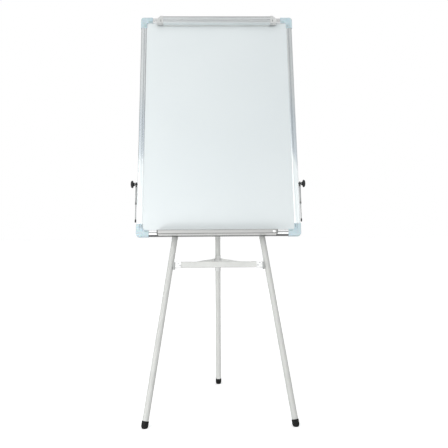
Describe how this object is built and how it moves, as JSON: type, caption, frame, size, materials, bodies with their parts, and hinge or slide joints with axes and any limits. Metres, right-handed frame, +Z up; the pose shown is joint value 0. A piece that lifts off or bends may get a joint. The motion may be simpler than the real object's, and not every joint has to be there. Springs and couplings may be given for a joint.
{
  "type": "flipchart easel",
  "caption": "Free-standing whiteboard easel on a folding tripod stand, with a sprung clamp for a paper pad, a pen tray and folding side arms.",
  "frame": {"origin": "on the floor, under the middle of the bounding box", "axes": "+Z up, -Y towards the reader in front of the board, +X to that reader's right"},
  "size_m": [0.6514, 0.6022, 1.5295],
  "materials": {
    "board_lacquer": "gloss dry-wipe lacquer",
    "board_core": "raw fibreboard",
    "zinc_sheet": "galvanised, satin",
    "aluminium": "satin anodised",
    "corner_plastic": "fine satin",
    "clamp_end_plastic": "semi-gloss",
    "leg_paint": "satin powder coat",
    "rubber": "matte",
    "black_plastic": "satin",
    "light_plastic": "satin",
    "steel": "zinc plated"
  },
  "bodies": {
    "board_and_front_legs": {"board_back_sheet": "zinc_sheet", "board_clip_left": "black_plastic", "board_clip_right": "black_plastic", "board_clip_screw_left": "steel", "board_clip_screw_right": "steel", "board_core": "board_core", "board_face_sheet": "board_lacquer", "clamp_rail": "aluminium", "clamp_spring_left": "steel", "clamp_spring_right": "steel", "corner_cap_bottom_left": "corner_plastic", "corner_cap_bottom_right": "corner_plastic", "corner_cap_top_left": "corner_plastic", "corner_cap_top_right": "corner_plastic", "frame_bottom": "aluminium", "frame_left": "aluminium", "frame_right": "aluminium", "frame_top": "aluminium", "front_foot_left": "rubber", "front_foot_right": "rubber", "front_leg_left": "leg_paint", "front_leg_right": "leg_paint", "hub_bracket": "zinc_sheet", "pen_tray": "aluminium", "pen_tray_end_left": "light_plastic", "pen_tray_end_right": "light_plastic", "pen_tray_screw_left": "steel", "pen_tray_screw_right": "steel", "rear_hinge_pin": "steel", "spreader_bar": "aluminium", "spreader_saddle_left": "black_plastic", "spreader_saddle_right": "black_plastic", "spreader_screw_left": "steel", "spreader_screw_right": "steel", "spreader_socket_left": "light_plastic", "spreader_socket_right": "light_plastic", "tripod_hub": "black_plastic"},
    "rear_leg": {"rear_leg": "leg_paint", "rear_leg_knuckle": "black_plastic", "rear_foot": "rubber"},
    "runner": {"runner_sleeve": "black_plastic"},
    "clamp": {"clamp_bar": "aluminium", "clamp_end_left": "clamp_end_plastic", "clamp_end_right": "clamp_end_plastic", "clamp_grip_strip": "light_plastic", "clamp_hinge_rod": "steel"},
    "strut_left": {"strut_left": "leg_paint", "strut_rivet_front_left": "steel", "strut_rivet_rear_left": "steel"},
    "arm_left": {"arm_left_eye": "black_plastic", "arm_left_tube": "aluminium"},
    "arm_left_rod": {"arm_left_rod": "steel"},
    "arm_left_knob": {"arm_left_knob": "black_plastic"},
    "strut_right": {"strut_right": "leg_paint", "strut_rivet_front_right": "steel", "strut_rivet_rear_right": "steel"},
    "arm_right": {"arm_right_eye": "black_plastic", "arm_right_tube": "aluminium"},
    "arm_right_rod": {"arm_right_rod": "steel"},
    "arm_right_knob": {"arm_right_knob": "black_plastic"}
  },
  "joints": [
    {"name": "rear_leg_fold", "type": "hinge", "parent": "board_and_front_legs", "child": "rear_leg", "pos_m": [0, 0.10106, 1.38634], "axis": [-1, 0, 0], "range_deg": [0, 21.5]},
    {"name": "runner_slide", "type": "slide", "parent": "rear_leg", "child": "runner", "axis": [0, 0.1351, -0.9908], "range_m": [0, 0.376]},
    {"name": "clamp_open", "type": "hinge", "parent": "board_and_front_legs", "child": "clamp", "pos_m": [0, 0.02579, 1.51847], "axis": [-1, 0, 0], "range_deg": [0, 25], "stiffness_Nm_per_rad": 0.8},
    {"name": "strut_left_fold", "type": "hinge", "parent": "board_and_front_legs", "child": "strut_left", "pos_m": [-0.128, -0.13573, 0.54823], "axis": [-1, 0, 0], "range_deg": [0, 98.8]},
    {"name": "arm_left_swing", "type": "hinge", "parent": "board_and_front_legs", "child": "arm_left", "pos_m": [-0.3052, -0.12149, 0.85129], "axis": [-1, 0, 0], "range_deg": [0, 180]},
    {"name": "arm_left_extend", "type": "slide", "parent": "arm_left", "child": "arm_left_rod", "axis": [0, -0.2419, -0.9703], "range_m": [0, 0.05]},
    {"name": "arm_left_knob_turn", "type": "hinge", "parent": "board_and_front_legs", "child": "arm_left_knob", "pos_m": [-0.3052, -0.12149, 0.85129], "axis": [-1, 0, 0], "range_deg": [0, 360]},
    {"name": "strut_right_fold", "type": "hinge", "parent": "board_and_front_legs", "child": "strut_right", "pos_m": [0.128, -0.13573, 0.54823], "axis": [-1, 0, 0], "range_deg": [0, 98.8]},
    {"name": "arm_right_swing", "type": "hinge", "parent": "board_and_front_legs", "child": "arm_right", "pos_m": [0.3052, -0.12149, 0.85129], "axis": [-1, 0, 0], "range_deg": [0, 180]},
    {"name": "arm_right_extend", "type": "slide", "parent": "arm_right", "child": "arm_right_rod", "axis": [0, -0.2419, -0.9703], "range_m": [0, 0.05]},
    {"name": "arm_right_knob_turn", "type": "hinge", "parent": "board_and_front_legs", "child": "arm_right_knob", "pos_m": [0.3052, -0.12149, 0.85129], "axis": [1, 0, 0], "range_deg": [0, 360]}
  ],
  "couplings": [
    {"joint": "runner_slide", "follows": "rear_leg_fold", "m_per_rad": 0.99713},
    {"joint": "strut_left_fold", "follows": "rear_leg_fold", "ratio": 4.5895},
    {"joint": "strut_right_fold", "follows": "rear_leg_fold", "ratio": 4.5895}
  ]
}
